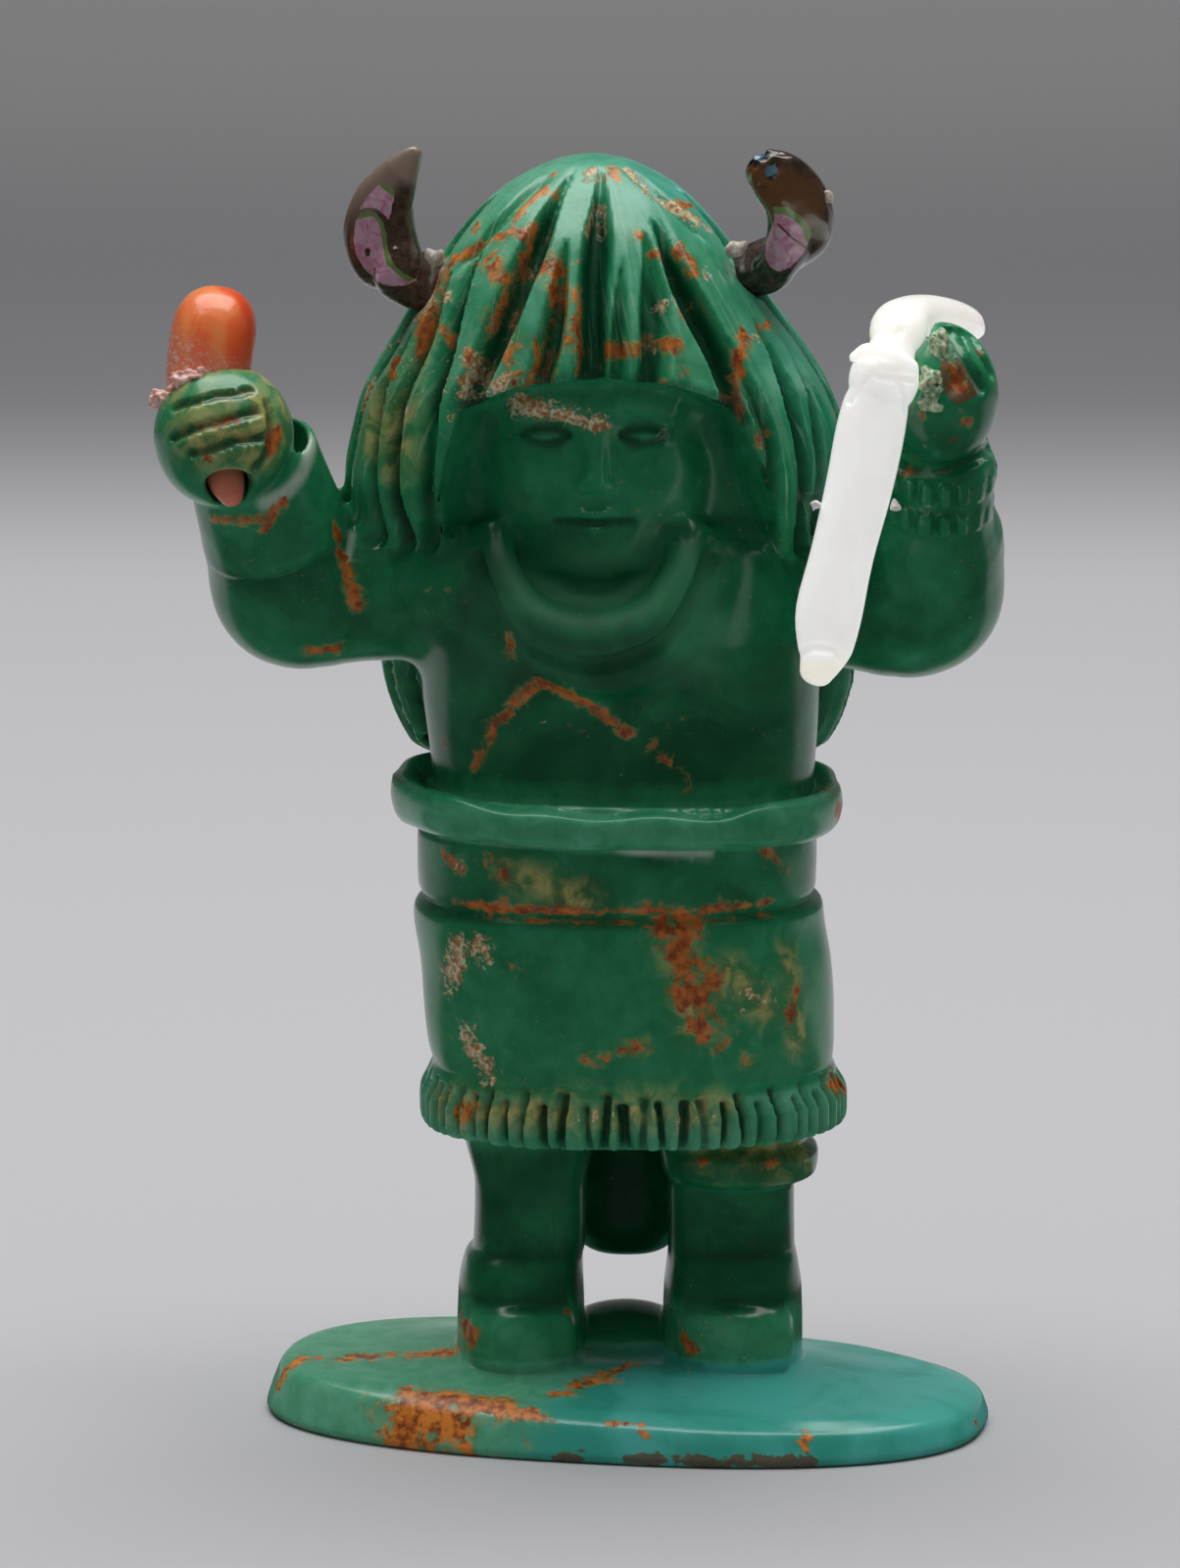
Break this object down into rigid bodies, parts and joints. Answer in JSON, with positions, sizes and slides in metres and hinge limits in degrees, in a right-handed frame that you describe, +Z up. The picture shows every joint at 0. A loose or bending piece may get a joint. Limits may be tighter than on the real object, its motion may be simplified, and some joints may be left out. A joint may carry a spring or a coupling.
{
  "type": "carved stone dancer figure",
  "caption": "Small carved green turquoise figure of a horned dancer on an oval base, arms raised, with set-in shell horns, a coral rattle and a mother-of-pearl bow",
  "frame": {"origin": "the middle of the flat underside of the base", "axes": "+Z up along the figure, which is its longest extent; the figure faces -Y, and its right hand is on the -X side"},
  "size_m": [0.0414, 0.0233, 0.064],
  "materials": {
    "turquoise": "polished green turquoise with rust-brown matrix",
    "abalone_shell": "polished dark abalone shell",
    "coral": "polished orange coral",
    "mother_of_pearl": "polished white mother-of-pearl"
  },
  "bodies": {
    "root": {"stone_figure": "turquoise", "right_horn": "abalone_shell", "left_horn": "abalone_shell", "rattle": "coral", "bow": "mother_of_pearl"}
  },
  "joints": []
}
